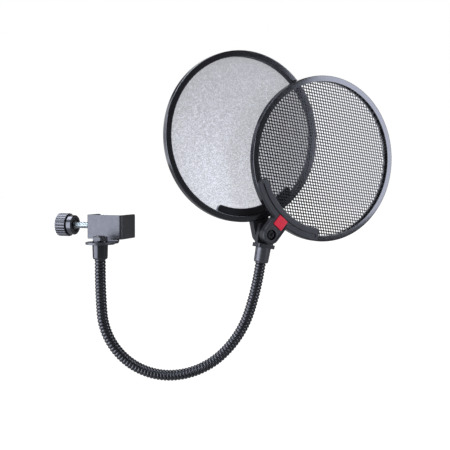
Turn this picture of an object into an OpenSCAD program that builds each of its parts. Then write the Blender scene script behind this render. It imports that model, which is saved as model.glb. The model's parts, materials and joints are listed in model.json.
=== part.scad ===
// Twin-screen pop filter for a microphone, on a gooseneck, with a clamp for a stand tube.
// Millimetres. The origin is on the axis of the tube that the clamp grips, at the clamp's
// mid height. +Z runs up the tube and +X runs along the clamp screw towards the fixed jaw.

/* [Clamp bracket] */
// Diameter of the stand tube that the clamp grips at rest
tube_d = 16; // [10:0.5:20]
// Width of the bent steel strip
strip_w = 22; // [20:0.5:28]
// Thickness of the strip
strip_t = 2; // [1.5:0.1:3]
// Clear distance between the two arms
arm_gap = 31.8; // [30:0.1:40]
// From the front wall's outer face to the tube's axis
throat = 19.5; // [17:0.5:26]
// How far the arms run past the tube's axis
arm_over = 8; // [8:0.5:12]
// Inside radius of the strip's two upright bends
bend_r = 0.6; // [0.4:0.1:2]
// Corner radius at the end of the fixed jaw's arm
jaw_corner = 1.5; // [1:0.1:4]
// Corner radius at the end of the screw's arm
screw_arm_corner = 7.5; // [3:0.5:9]
// Thickness of the rubber pad on the fixed jaw
jaw_pad_t = 0.8; // [0.5:0.1:2]
// Margin of the jaw pad inside the arm's outline
jaw_pad_margin = 1.5; // [1:0.1:4]

/* [Neck tab] */
// From the fixed jaw's outer face to the neck's axis, along the front wall
tab_in = 13; // [12:0.5:20]
// From the front wall's outer face to the neck's axis
tab_reach = 15.8; // [14.5:0.1:24]
// Radius of the tab's round end
tab_r = 13; // [10:0.5:14]
// Width of the web between the round end and the wall
tab_web_w = 20; // [12:0.5:20]
// Inside radius of the tab's bend
tab_bend_r = 1.3; // [0.6:0.1:3]

/* [Clamp screw] */
// Thread diameter of the clamp screw
screw_d = 6; // [5:0.5:8]
// Length of screw that shows between the arm and the knob
screw_out = 22.9; // [18:0.1:30]
// Diameter of the knob over its ribs
knob_d = 22; // [18:0.5:30]
// Length of the knob's ribbed part
knob_l = 10.4; // [8:0.1:16]
// Number of ribs round the knob
knob_ribs = 22; // [16:1:36]
// Radius of one rib
knob_rib_r = 1.1; // [0.6:0.05:1.2]
// Diameter of the knob's collar
collar_d = 18.6; // [14:0.1:20]
// Length of the collar
collar_l = 6.1; // [4:0.1:9]
// Diameter of the recess in the collar's face
collar_recess_d = 13; // [10:0.5:15]
// Depth of the recess in the collar's face
collar_recess = 1.6; // [0.5:0.1:3]
// Diameter of the boss round the screw in the recess
collar_boss_d = 8.6; // [7.5:0.1:9.6]
// Plastic left between the screw's end and the knob's end
knob_end_wall = 3; // [2:0.1:5]
// Outer diameter of the threaded bush in the arm
bush_d = 9; // [8:0.5:11]
// Flange diameter of the bush
bush_flange_d = 13; // [11.5:0.5:15]
// Flange thickness of the bush
bush_flange_t = 1.2; // [0.8:0.1:2]

/* [Pressure pad] */
// Diameter of the swivel foot
pad_d = 14; // [11:0.5:18]
// Thickness of the foot's disc
pad_t = 2.6; // [2:0.1:4]
// Thickness of the rubber facing
pad_face_t = 1; // [0.6:0.1:2]
// Diameter of the foot's hub
hub_d = 9; // [7.5:0.5:11]
// Height of the hub
hub_h = 2.8; // [2:0.1:5]
// Diameter of the pin at the screw's tip
tip_d = 4; // [3:0.1:4.5]
// Depth of the tip's socket, from the back of the hub
tip_depth = 3.6; // [2:0.1:4]

/* [Lower fitting] */
// Thread diameter of the stud that holds the neck
stud_d = 8; // [6:0.5:10]
// Width across flats of the neck nut
neck_nut_af = 13; // [12:0.5:17]
// Height of the neck nut
neck_nut_h = 4; // [3:0.1:7]
// Turn of the nut about the stud
neck_nut_turn = -61; // [-90:1:90]
// Outer diameter of the lock washer
lock_washer_d = 13.6; // [12.5:0.1:18]
// Thickness of the lock washer
lock_washer_t = 1; // [0.6:0.1:2]
// Stud left showing past the nut
stud_over = 0.6; // [0.2:0.1:3]
// Diameter of the lower ferrule at the tab
low_ferrule_d = 14; // [12.2:0.1:16]
// Length of the lower ferrule
low_ferrule_l = 13.2; // [10:0.1:20]
// How much a ferrule's radius tapers along its length
ferrule_taper = 0.35; // [0:0.05:0.6]
// Chamfer of a ferrule where the gooseneck leaves it, across the axis
ferrule_chamfer = 0.75; // [0.2:0.05:1]
// Chamfer of a ferrule, along the axis
ferrule_chamfer_l = 1.2; // [0.4:0.1:3]

/* [Gooseneck] */
// Length of gooseneck between the two ferrules
neck_l = 288; // [240:1:360]
// Diameter over the ribs
neck_d = 10; // [8:0.1:12]
// Depth of the groove between two ribs
rib_depth = 0.7; // [0.4:0.05:0.9]
// Pitch of the ribs
rib_pitch = 3; // [2.6:0.1:4]
// Bore of the gooseneck
neck_bore = 5; // [3:0.1:6]
// Bore through the ball end of a length
ball_bore = 4; // [2:0.1:5]
// How far a ball end stands proud of the grooves
ball_proud = 0.4; // [0.2:0.05:0.6]
// Straight run at each ferrule
neck_stub = 10; // [10:0.5:14]
// Direction of the neck's sweep, from +X towards +Y
neck_turn = 26.5; // [0:0.5:60]
// Bend of length 1, at the clamp
bend_1 = 4; // [0:0.5:20]
// Bend of length 2
bend_2 = 43.5; // [30:0.5:50]
// Bend of length 3
bend_3 = 45; // [30:0.5:50]
// Bend of length 4
bend_4 = 39.5; // [30:0.5:50]
// Bend of length 5
bend_5 = 30; // [20:0.5:40]
// Bend of length 6, at the head
bend_6 = 8; // [0:0.5:20]
// Turn of the bend's plane before length 4
roll_4 = -3; // [-10:0.5:10]
// Turn of the bend's plane before length 5
roll_5 = -1.5; // [-10:0.5:10]

/* [Head] */
// Turn of the hinge block about the end of the neck
head_turn = -158; // [-180:0.5:-120]
// Diameter of the upper ferrule
up_ferrule_d = 14.2; // [13:0.1:16]
// Length of the upper ferrule, from the hinge block to the end of the gooseneck
up_ferrule_l = 10.9; // [8:0.1:18]
// How far the upper ferrule reaches down over the gooseneck
up_skirt = 2.8; // [0.5:0.1:6]
// Width of the hinge block's base
base_w = 17.5; // [16:0.1:22]
// Depth of the base, front to back
base_d = 14.2; // [13:0.1:18]
// Thickness of the base
base_t = 3.6; // [2.5:0.1:6]
// Corner radius of the base
base_corner = 2.5; // [1:0.1:5]
// Width of the tongue
tongue_w = 17.3; // [12:0.1:17.4]
// Thickness of the tongue
tongue_t = 4.6; // [4:0.1:7]
// Height of the tongue above the pivot
tongue_up = 9.6; // [7:0.1:11]
// Corner radius at the top of the tongue
tongue_corner = 2.5; // [2:0.1:6]
// Gap between a lug and the base
lug_gap = 0.5; // [0.3:0.1:2]
// Thread diameter of the pivot screw
pivot_d = 4; // [3:0.1:5]
// Diameter of the pivot screw's head
pivot_head_d = 8; // [6.5:0.1:9]
// Diameter of the pivot screw's head at its top
pivot_head_top_d = 6.4; // [5:0.1:6.5]
// Height of the pivot screw's head
pivot_head_h = 2.4; // [1.8:0.1:3]
// Length of one slot of the screw's cross recess
cross_l = 4.4; // [3:0.1:4.8]
// Width of one slot of the cross recess
cross_w = 1; // [0.6:0.1:1.4]
// Depth of the cross recess
cross_depth = 1.4; // [0.6:0.1:1.6]
// Screw left showing past the pivot nut
pivot_over = 0.4; // [0.1:0.1:1]
// Width across flats of the pivot nut
pivot_nut_af = 7; // [6:0.1:8]
// Height of the pivot nut
pivot_nut_h = 3.2; // [2.4:0.1:3.6]
// Outer diameter of a friction washer
friction_d = 14; // [10:0.1:16]
// Thickness of a friction washer
friction_t = 1; // [0.5:0.1:1.5]

/* [Screens] */
// Outer diameter of a ring
ring_d = 155; // [130:1:170]
// Width of a ring's face, from its outer to its inner edge
ring_face = 5.4; // [4.5:0.1:8]
// Depth of a ring, front to back
ring_ax = 7; // [6.4:0.1:9]
// Thickness of a ring's outer wall
ring_wall = 3.1; // [2:0.1:3.6]
// Thickness of the flange that the screen lies on
flange_t = 4.2; // [1.2:0.1:4.4]
// Edge rounding of the rings
ring_round = 0.8; // [0.3:0.1:1]
// Thickness of a screen
screen_t = 0.6; // [0.4:0.1:1]
// From the pivot to a ring's outer edge
ring_off = 13.5; // [12:0.1:20]
// Swing of the steel screen from the neck's line
steel_swing = 29.5; // [-90:0.5:90]
// Swing of the fabric screen from the neck's line
fabric_swing = -23.5; // [-90:0.5:90]
// Pitch of the perforation, coarser than the fine sheet that it stands for
perf_pitch = 8; // [7.9:0.1:14]
// Hole diameter of the perforation
perf_d = 5.9; // [3:0.1:6.4]
// Plain edge left outside the perforation
perf_edge = 1; // [0.5:0.1:8]
// Slope of the rows of holes
perf_slope = 7; // [0:1:30]

/* [Arms] */
// Half width of an arm, and radius of its lug
arm_half = 8.5; // [7:0.1:8.8]
// Half angle that a cradle spans round its ring
cradle_half = 34; // [20:0.5:50]
// Radial width of a cradle
cradle_w = 12; // [9:0.1:16]
// How far a cradle's edge stays inside the ring's edge
cradle_inset = 0.3; // [0:0.1:1]
// Thickness of the cradle's plate over the ring's face
cradle_t = 1.4; // [1.2:0.1:3]
// Corner radius of the cradle's ends
cradle_corner = 3; // [1:0.1:3.2]
// Depth of the pocket and groove in the arm's face
pocket = 0.8; // [0.4:0.1:1]
// Width of the rim left round the pocket
rim_w = 1.8; // [1:0.1:2.4]
// Width of the outer band of the cradle, outside its groove
groove_out = 3; // [2:0.1:4]
// Width of the cradle's groove
groove_w = 3.4; // [2:0.1:5]
// Corner radius of the groove's ends
groove_corner = 1.5; // [0.4:0.1:1.6]
// Angle left solid at each end of the groove
groove_stop = 2.5; // [1.5:0.1:6]
// Thickness of the backing strip behind the screen
strip_back_t = 0.9; // [0.5:0.1:1.2]
// Depth from the lug's back to the seat of the screw head or nut
seat_depth = 4; // [3:0.1:4.4]
// Diameter of the counterbore for the screw head or nut
counterbore_d = 9.6; // [9.4:0.1:11]
// Side of the square badge
badge_w = 10.5; // [8:0.1:12]
// Thickness of the badge
badge_t = 0.9; // [0.6:0.1:1.2]
// From the pivot to the badge's centre
badge_at = 14.2; // [12.5:0.1:15]

/* [Clearances] */
// Radial running clearance of pins and threads
run_fit = 0.05; // [0.02:0.01:0.09]
// Clearance between pieces that are fixed together
seat_fit = 0.1; // [0.05:0.01:0.2]
// Clearance between faces that slide on each other
slide_fit = 0.1; // [0.05:0.01:0.3]
// Clearance of the neck's ball ends in their cups
ball_fit = 0.55; // [0.45:0.05:0.8]

/* [Hidden] */
$fn = 64;

// Clamp, along X
jaw_in = tube_d / 2 + jaw_pad_t;
jaw_out = jaw_in + strip_t;
arm_in = jaw_in - arm_gap;
arm_out = arm_in - strip_t;
bend_out = bend_r + strip_t;
wall_y = -throat;
half_w = strip_w / 2;
collar_x = arm_out - screw_out;
knob_x = collar_x - collar_l - knob_l;
foot_x = -tube_d / 2 - pad_face_t;
hub_back = foot_x - pad_t - hub_h;

// Neck tab and lower fitting
hole_x = jaw_out - tab_in;
hole_y = wall_y - tab_reach;
tab_top = -half_w - tab_bend_r;
tab_bottom = tab_top - strip_t;
low_ferrule_z = tab_bottom - low_ferrule_l;
nut_z = tab_top + lock_washer_t;

// Neck
neck_lengths = 6;
seg_l = neck_l / neck_lengths;
seg_ribs = round(seg_l / rib_pitch);
crest_r = neck_d / 2;
valley_r = crest_r - rib_depth;
ball_r = valley_r + ball_proud;
bends = [bend_1, bend_2, bend_3, bend_4, bend_5, bend_6];
rolls = [0, 0, 0, roll_4, roll_5, 0];
hose_sides = 8;
// Ribs left out at the start of a length, where the ball of the length before it turns
cup_ribs = 1;

// Layers of a screen, measured outwards from the tongue's middle
lug_back = tongue_t / 2 + friction_t + slide_fit;
ring_front = lug_back + ring_ax;
screen_back = lug_back + flange_t;
screen_front = screen_back + screen_t;
arm_front = ring_front + cradle_t;
pocket_floor = arm_front - pocket;
seat = lug_back + seat_depth;
ring_r = ring_d / 2;
reach = ring_r + ring_off;
ring_in_r = ring_r - ring_face;
hoop_r = ring_r - ring_wall - seat_fit;
cradle_out_r = ring_r - cradle_inset;
cradle_in_r = cradle_out_r - cradle_w;
inner_block_r = ring_in_r - 2 * seat_fit;
groove_out_r = cradle_out_r - groove_out;
groove_in_r = groove_out_r - groove_w;
perf_r = hoop_r - perf_edge - perf_d / 2;

// Head
pivot_h = arm_half + lug_gap;
pivot_up = up_ferrule_l + base_t + pivot_h;
tongue_hole_d = pivot_d + 2 * run_fit;
lug_hole_d = pivot_d + 3 * run_fit;
head_z = seat + slide_fit;
nut_end = -seat - slide_fit - pivot_nut_h;

// Extra length of a cut past the face it opens, and of a piece into the one it joins
past = 1;
lap = 0.1;

// Straight steps along a band's arcs and round its corners
band_steps = 40;
corner_steps = 6;

// Rigid moves as matrices, so that the neck can be walked length by length
function move(v) = [[1, 0, 0, v[0]], [0, 1, 0, v[1]], [0, 0, 1, v[2]], [0, 0, 0, 1]];
function turn_x(a) = [[1, 0, 0, 0], [0, cos(a), -sin(a), 0], [0, sin(a), cos(a), 0], [0, 0, 0, 1]];
function turn_y(a) = [[cos(a), 0, sin(a), 0], [0, 1, 0, 0], [-sin(a), 0, cos(a), 0], [0, 0, 0, 1]];
function turn_z(a) = [[cos(a), -sin(a), 0, 0], [sin(a), cos(a), 0, 0], [0, 0, 1, 0], [0, 0, 0, 1]];
function place(m, p) = let (q = m * [p[0], p[1], p[2], 1]) [q[0], q[1], q[2]];

// A point of a bent run: the tangent is local z and the run bends towards local x
function bent(bend, run, s) = abs(bend) < 0.01 ? move([0, 0, s])
    : let (r = run * 180 / (PI * bend), a = bend * s / run)
      move([r * (1 - cos(a)), 0, r * sin(a)]) * turn_y(a);
function run_in(i) = i == 0 ? neck_stub : 0;
function run_out(i) = i == neck_lengths - 1 ? neck_stub : 0;
function seg_at(i, s) =
    let (a = run_in(i), b = run_out(i), arc = seg_l - a - b)
    turn_z(rolls[i]) * (s <= a ? move([0, 0, s])
        : s <= seg_l - b ? move([0, 0, a]) * bent(bends[i], arc, s - a)
        : move([0, 0, a]) * bent(bends[i], arc, arc) * move([0, 0, s - seg_l + b]));
neck_root = move([hole_x, hole_y, low_ferrule_z]) * turn_z(neck_turn) * turn_x(180);
function seg_frame(i) = i == 0 ? neck_root : seg_frame(i - 1) * seg_at(i - 1, seg_l);
head_frame = seg_frame(neck_lengths) * turn_z(head_turn) * move([0, 0, pivot_up]);
echo(joints = [for (i = [1:neck_lengths - 1]) seg_frame(i)], head = head_frame);

// Frames of the moving groups
module along_x() rotate([0, 90, 0]) children();
module on_head() multmatrix(head_frame) children();
module on_screen(swing, side) on_head() rotate([0, swing, 0]) rotate([0, 0, side])
    rotate([90, 0, 0]) children();
module on_steel() on_screen(steel_swing, 0) children();
module on_fabric() on_screen(fabric_swing, 180) children();

// A rectangle from the origin with rounded corners
module round_rect(w, h, r) {
    translate([r, 0]) square([w - 2 * r, h]);
    translate([0, r]) square([w, h - 2 * r]);
    for (x = [r, w - r], y = [r, h - r]) translate([x, y]) circle(r);
}

// An arm of the clamp, lying in the plane, with its two far corners rounded
module arm_face(length, r) {
    translate([0, -half_w]) square([length - r, strip_w]);
    translate([0, r - half_w]) square([length, strip_w - 2 * r]);
    for (y = [r - half_w, half_w - r]) translate([length - r, y]) circle(r);
}

module upright_bend(x, from) translate([x, wall_y + bend_out, -half_w]) rotate([0, 0, from])
    rotate_extrude(angle = 90) translate([bend_r, 0]) square([strip_t, strip_w]);

module clamp_arm(x, r, hole) translate([x, wall_y + bend_out, 0]) rotate([90, 0, 90])
    linear_extrude(strip_t) difference() {
        arm_face(throat + arm_over - bend_out, r);
        if (hole > 0) translate([throat - bend_out, 0]) circle(d = hole);
    }

module tab() {
    translate([hole_x - tab_web_w / 2, wall_y - tab_bend_r, -half_w]) rotate([0, 90, 0])
        rotate_extrude(angle = 90) translate([tab_bend_r, 0]) square([strip_t, tab_web_w]);
    translate([0, 0, tab_bottom]) linear_extrude(strip_t) difference() {
        union() {
            translate([hole_x, hole_y]) circle(tab_r);
            translate([hole_x - tab_web_w / 2, hole_y]) square([tab_web_w, tab_reach - tab_bend_r]);
        }
        translate([hole_x, hole_y]) circle(d = stud_d + 2 * seat_fit);
    }
}

// One bent strip: front wall, two arms and the tab that carries the neck
module clamp_bracket() color([0.13, 0.13, 0.14]) union() {
    translate([arm_out + bend_out, wall_y, -half_w])
        cube([arm_gap + 2 * strip_t - 2 * bend_out, strip_t, strip_w]);
    upright_bend(arm_out + bend_out, 180);
    upright_bend(jaw_out - bend_out, 270);
    clamp_arm(arm_out, screw_arm_corner, bush_d + 2 * seat_fit);
    clamp_arm(jaw_in, jaw_corner, 0);
    tab();
}

// The bush that holds the thread, flanged on the inside of the arm
module thread_bush() color([0.62, 0.62, 0.64]) along_x() difference() {
    union() {
        translate([0, 0, arm_out]) cylinder(d = bush_d, h = strip_t);
        translate([0, 0, arm_in]) cylinder(d = bush_flange_d, h = bush_flange_t);
    }
    translate([0, 0, arm_out - past])
        cylinder(d = screw_d + 2 * run_fit, h = strip_t + bush_flange_t + 2 * past);
}

module jaw_pad() color([0.08, 0.08, 0.08])
    translate([tube_d / 2, wall_y + bend_out + jaw_pad_margin, jaw_pad_margin - half_w])
    cube([jaw_pad_t, throat + arm_over - bend_out - 2 * jaw_pad_margin, strip_w - 2 * jaw_pad_margin]);

module neck_nut() color([0.12, 0.12, 0.13]) translate([hole_x, hole_y, nut_z]) difference() {
    rotate([0, 0, neck_nut_turn]) cylinder(d = neck_nut_af / cos(30), h = neck_nut_h, $fn = 6);
    translate([0, 0, -past]) cylinder(d = stud_d + 2 * run_fit, h = neck_nut_h + 2 * past);
}

module lock_washer() color([0.12, 0.12, 0.13]) translate([hole_x, hole_y, tab_top]) difference() {
    cylinder(d = lock_washer_d, h = lock_washer_t);
    translate([0, 0, -past]) cylinder(d = stud_d + 2 * seat_fit, h = lock_washer_t + 2 * past);
}

// A ferrule, tapered a little and chamfered where the gooseneck leaves it, from z = 0 down
module ferrule(d, length) {
    shoulder_r = d / 2 - ferrule_taper;
    rotate_extrude() polygon([[0, 0], [d / 2, 0], [shoulder_r, ferrule_chamfer_l - length],
        [shoulder_r - ferrule_chamfer, -length], [0, -length]]);
}

module lower_ferrule() color([0.12, 0.12, 0.13]) translate([hole_x, hole_y, tab_bottom]) {
    ferrule(low_ferrule_d, low_ferrule_l);
    cylinder(d = stud_d, h = strip_t + lock_washer_t + neck_nut_h + stud_over);
}

// One ribbed length: rings of points alternate between groove and rib, round a plain bore
function ring_of(m, r) = [for (k = [0:hose_sides - 1]) let (a = 360 * (k + 0.5) / hose_sides)
    place(m, [r * cos(a), r * sin(a), 0])];
function hose_ring(i, share, r) = ring_of(seg_frame(i) * seg_at(i, seg_l * share), r);
function hose_points(i, first, rings, bore_rings) = [
    for (j = [first:rings], p = hose_ring(i, j / rings, j % 2 == 0 ? valley_r : crest_r)) p,
    for (j = [0:bore_rings], share = [(first + (rings - first) * j / bore_rings) / rings],
        p = hose_ring(i, share, neck_bore / 2)) p];
function next(k) = (k + 1) % hose_sides;
function wall_faces(first, rings, out) = [for (j = [0:rings - 1], k = [0:hose_sides - 1])
    let (row = first + j * hose_sides, a = row + k, b = row + next(k), c = b + hose_sides, d = a + hose_sides)
    each out ? [[a, d, c], [a, c, b]] : [[a, c, d], [a, b, c]]];
function cap_faces(outer, inner, start) = [for (k = [0:hose_sides - 1])
    let (a = outer + k, b = outer + next(k), c = inner + next(k), d = inner + k)
    each start ? [[a, b, c], [a, c, d]] : [[a, c, b], [a, d, c]]];

module hose(i) {
    rings = 2 * seg_ribs;
    first = i == 0 ? 0 : 2 * cup_ribs;
    bore_rings = 8;
    last = (rings - first) * hose_sides;
    bore_first = last + hose_sides;
    bore_last = bore_first + bore_rings * hose_sides;
    polyhedron(points = hose_points(i, first, rings, bore_rings), faces = concat(
        wall_faces(0, rings - first, true), wall_faces(bore_first, bore_rings, false),
        cap_faces(0, bore_first, true), cap_faces(last, bore_last, false)));
}

// A length of gooseneck: a ball at its far end turns in the cup of the next length
module neck(i) color([0.15, 0.15, 0.16]) difference() {
    union() {
        hose(i);
        if (i < neck_lengths - 1) multmatrix(seg_frame(i + 1)) sphere(ball_r);
    }
    if (i > 0) multmatrix(seg_frame(i)) sphere(ball_r + ball_fit);
    if (i < neck_lengths - 1) multmatrix(seg_frame(i + 1)) translate([0, 0, -2 * crest_r])
        cylinder(d = ball_bore, h = 4 * crest_r);
}
module neck_1() neck(0);
module neck_2() neck(1);
module neck_3() neck(2);
module neck_4() neck(3);
module neck_5() neck(4);
module neck_6() neck(5);

module swivel_foot() color([0.7, 0.7, 0.72]) along_x() difference() {
    union() {
        translate([0, 0, foot_x - pad_t]) cylinder(d = pad_d, h = pad_t);
        translate([0, 0, hub_back]) cylinder(d = hub_d, h = hub_h + pad_t / 2);
    }
    translate([0, 0, hub_back - past]) cylinder(d = tip_d + 2 * run_fit, h = past + tip_depth + slide_fit);
}

module foot_facing() color([0.08, 0.08, 0.08]) along_x() translate([0, 0, foot_x])
    cylinder(d = pad_d, h = pad_face_t);

// The screw runs from inside the knob to the hub, and its tip turns in the hub's socket
module clamp_screw() color([0.75, 0.76, 0.78]) along_x() {
    screw_x = knob_x + knob_end_wall;
    translate([0, 0, screw_x]) cylinder(d = screw_d, h = hub_back - slide_fit - screw_x);
    translate([0, 0, hub_back - 2 * slide_fit]) cylinder(d = tip_d, h = tip_depth + slide_fit);
}

// Ribbed grip and plain collar in one moulding, with a recess round the screw
module knob() color([0.12, 0.12, 0.13]) along_x() difference() {
    union() {
        translate([0, 0, knob_x]) linear_extrude(knob_l) {
            circle(d = knob_d - 2 * knob_rib_r);
            for (k = [0:knob_ribs - 1]) rotate(360 * k / knob_ribs)
                translate([knob_d / 2 - knob_rib_r, 0]) circle(knob_rib_r, $fn = 24);
        }
        translate([0, 0, knob_x + knob_l]) cylinder(d = collar_d, h = collar_l);
    }
    translate([0, 0, knob_x + knob_end_wall]) cylinder(d = screw_d + 2 * run_fit, h = knob_l + collar_l);
    translate([0, 0, collar_x - collar_recess]) linear_extrude(collar_recess + past) difference() {
        circle(d = collar_recess_d);
        circle(d = collar_boss_d);
    }
}

// Its mouth is a sleeve over the end of the gooseneck
module upper_ferrule() color([0.12, 0.12, 0.13]) on_head() translate([0, 0, -pivot_h - base_t]) difference() {
    ferrule(up_ferrule_d, up_ferrule_l + up_skirt);
    translate([0, 0, -up_ferrule_l - up_skirt - past])
        cylinder(d = neck_d + 2 * seat_fit, h = up_skirt + past);
}

// Base and tongue; the tongue stands between the two lugs
module hinge_block() color([0.14, 0.14, 0.15]) on_head() difference() {
    union() {
        translate([-base_w / 2, -base_d / 2, -pivot_h - base_t]) linear_extrude(base_t)
            round_rect(base_w, base_d, base_corner);
        translate([0, tongue_t / 2, 0]) rotate([90, 0, 0]) linear_extrude(tongue_t) {
            translate([-tongue_w / 2, -pivot_h - base_t / 2]) square([tongue_w, pivot_h + tongue_up / 2]);
            translate([-tongue_w / 2, -pivot_h])
                round_rect(tongue_w, pivot_h + tongue_up, tongue_corner);
        }
    }
    rotate([90, 0, 0]) cylinder(d = tongue_hole_d, h = 2 * tongue_t, center = true);
}

// Pan head with a cross recess in front, shank through both lugs
module pivot_screw() color([0.2, 0.2, 0.21]) on_head() rotate([90, 0, 0]) difference() {
    union() {
        translate([0, 0, head_z]) cylinder(d1 = pivot_head_d, d2 = pivot_head_top_d, h = pivot_head_h);
        translate([0, 0, nut_end - pivot_over])
            cylinder(d = pivot_d, h = head_z + lap - nut_end + pivot_over);
    }
    for (a = [45, 135]) rotate([0, 0, a])
        translate([-cross_l / 2, -cross_w / 2, head_z + pivot_head_h - cross_depth])
        cube([cross_l, cross_w, cross_depth + past]);
}

module pivot_nut() color([0.5, 0.5, 0.52]) on_head() rotate([90, 0, 0])
    translate([0, 0, nut_end]) difference() {
        cylinder(d = pivot_nut_af / cos(30), h = pivot_nut_h, $fn = 6);
        translate([0, 0, -past]) cylinder(d = pivot_d + 2 * run_fit, h = pivot_nut_h + 2 * past);
    }

module friction_washers() color([0.85, 0.85, 0.82]) on_head() rotate([90, 0, 0])
    for (z = [tongue_t / 2, -tongue_t / 2 - friction_t]) translate([0, 0, z]) difference() {
        cylinder(d = friction_d, h = friction_t);
        translate([0, 0, -past]) cylinder(d = tongue_hole_d, h = friction_t + 2 * past);
    }

// Points of an arc, without its last one, which the next arc starts with
function arc(centre, r, from, to, steps) = [for (k = [0:steps - 1])
    let (a = from + (to - from) * k / steps) centre + r * [cos(a), sin(a)]];
// A point below the ring's centre, turned from straight down
function polar(r, t) = r * [sin(t), -cos(t)];
function band_outline(r0, r1, half, corner) =
    let (out = half - asin(corner / (r1 - corner)), in = half - asin(corner / (r0 + corner)))
    concat(
        arc([0, 0], r1, -90 - out, out - 90, band_steps),
        arc(polar(r1 - corner, out), corner, out - 90, half, corner_steps),
        arc(polar(r0 + corner, in), corner, half, in + 90, corner_steps),
        arc([0, 0], r0, in - 90, -90 - in, band_steps),
        arc(polar(r0 + corner, -in), corner, 90 - in, 180 - half, corner_steps),
        arc(polar(r1 - corner, -out), corner, 180 - half, 270 - out, corner_steps));

// A band round the ring's centre with rounded ends
module band(r0, r1, half, corner) translate([0, reach]) polygon(band_outline(r0, r1, half, corner));

// A straight strip along the arm with a round end about the pivot
module lug_strip(half, length) {
    circle(half);
    translate([-half, 0]) square([2 * half, length]);
}

// Lug, arm and cradle in one moulding, with a rim round a shallow pocket
module arm() difference() {
    union() {
        translate([0, 0, lug_back]) linear_extrude(arm_front - lug_back) difference() {
            lug_strip(arm_half, ring_off + ring_face);
            translate([0, reach]) circle(ring_r + seat_fit, $fn = 180);
        }
        translate([0, 0, ring_front]) linear_extrude(cradle_t) {
            band(cradle_in_r, cradle_out_r, cradle_half, cradle_corner);
            lug_strip(arm_half, ring_off + 2 * cradle_corner);
        }
        translate([0, 0, screen_front]) linear_extrude(arm_front - screen_front)
            band(cradle_in_r, inner_block_r, cradle_half, cradle_corner);
    }
    translate([0, 0, pocket_floor]) linear_extrude(2 * pocket) {
        band(groove_in_r, groove_out_r, cradle_half - groove_stop, groove_corner);
        lug_strip(arm_half - rim_w, reach - groove_out_r + groove_w / 2);
    }
    cylinder(d = lug_hole_d, h = 2 * arm_front);
    translate([0, 0, seat]) cylinder(d = counterbore_d, h = arm_front);
}

// Outer ring: a wall with rounded edges and a flange that the screen lies on
module ring() translate([0, reach, 0]) rotate_extrude($fn = 180) {
    translate([ring_r - ring_wall, lug_back]) round_rect(ring_wall, ring_ax, ring_round);
    translate([ring_in_r, lug_back]) square([ring_face - ring_wall + ring_round, flange_t]);
    translate([ring_r - ring_wall, lug_back]) square([ring_wall / 2, flange_t]);
}

module hoop() translate([0, reach, 0]) rotate_extrude($fn = 180) translate([ring_in_r, screen_front])
    round_rect(hoop_r - ring_in_r, ring_front - screen_front, ring_round / 2);

// Perforated steel, its holes in staggered rows that slope with the sheet
module steel_holes() {
    row = perf_pitch * sqrt(3) / 2;
    rows = floor(perf_r / row);
    for (j = [-rows:rows]) {
        shift = abs(j) % 2 * perf_pitch / 2;
        half = sqrt(perf_r * perf_r - j * j * row * row);
        for (k = [ceil((-half - shift) / perf_pitch):floor((half - shift) / perf_pitch)])
            translate([k * perf_pitch + shift, j * row]) circle(d = perf_d, $fn = 24);
    }
}

module screen_disc() circle(hoop_r, $fn = 180);

module strip_band() translate([0, 0, screen_back - strip_back_t]) linear_extrude(strip_back_t)
    band(cradle_in_r, inner_block_r, cradle_half, cradle_corner);

module steel_arm() color([0.16, 0.16, 0.17]) on_steel() arm();
module steel_ring() color([0.16, 0.16, 0.17]) on_steel() ring();
module steel_hoop() color([0.2, 0.2, 0.21]) on_steel() hoop();
module steel_sheet() color([0.12, 0.12, 0.13]) on_steel() translate([0, reach, screen_back])
    linear_extrude(screen_t) difference() {
        screen_disc();
        rotate(-perf_slope - steel_swing) steel_holes();
    }
module steel_strip() color([0.12, 0.12, 0.13]) on_steel() strip_band();
module badge() color([0.8, 0.1, 0.15]) on_steel()
    translate([-badge_w / 2, badge_at - badge_w / 2, pocket_floor]) cube([badge_w, badge_w, badge_t]);

module fabric_arm() color([0.16, 0.16, 0.17]) on_fabric() arm();
module fabric_ring() color([0.16, 0.16, 0.17]) on_fabric() ring();
module fabric_hoop() color([0.2, 0.2, 0.21]) on_fabric() hoop();
module fabric_screen() color([0.78, 0.78, 0.81]) on_fabric() translate([0, reach, screen_back])
    linear_extrude(screen_t) screen_disc();
module fabric_strip() color([0.12, 0.12, 0.13]) on_fabric() strip_band();

clamp_bracket();
thread_bush();
jaw_pad();
neck_nut();
lock_washer();
lower_ferrule();
neck_1();
neck_2();
neck_3();
neck_4();
neck_5();
neck_6();
swivel_foot();
foot_facing();
clamp_screw();
knob();
upper_ferrule();
hinge_block();
pivot_screw();
pivot_nut();
friction_washers();
steel_arm();
steel_ring();
steel_hoop();
steel_sheet();
steel_strip();
badge();
fabric_arm();
fabric_ring();
fabric_hoop();
fabric_screen();
fabric_strip();
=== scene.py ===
# %% [markdown]
# # A twin-screen pop filter, dressed for the camera
# The solid model of this object comes in as a fixed frame, with every piece at its real size and place. The
# steps below give each piece what a camera would see: eased edges, threads, ribs, fine holes and cloth, and a
# finish for every material. Nothing from the frame is moved or resized on the way.

# %% Load the frame
import json
import math

import bmesh
import bpy
from mathutils import Matrix, Vector


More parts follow.
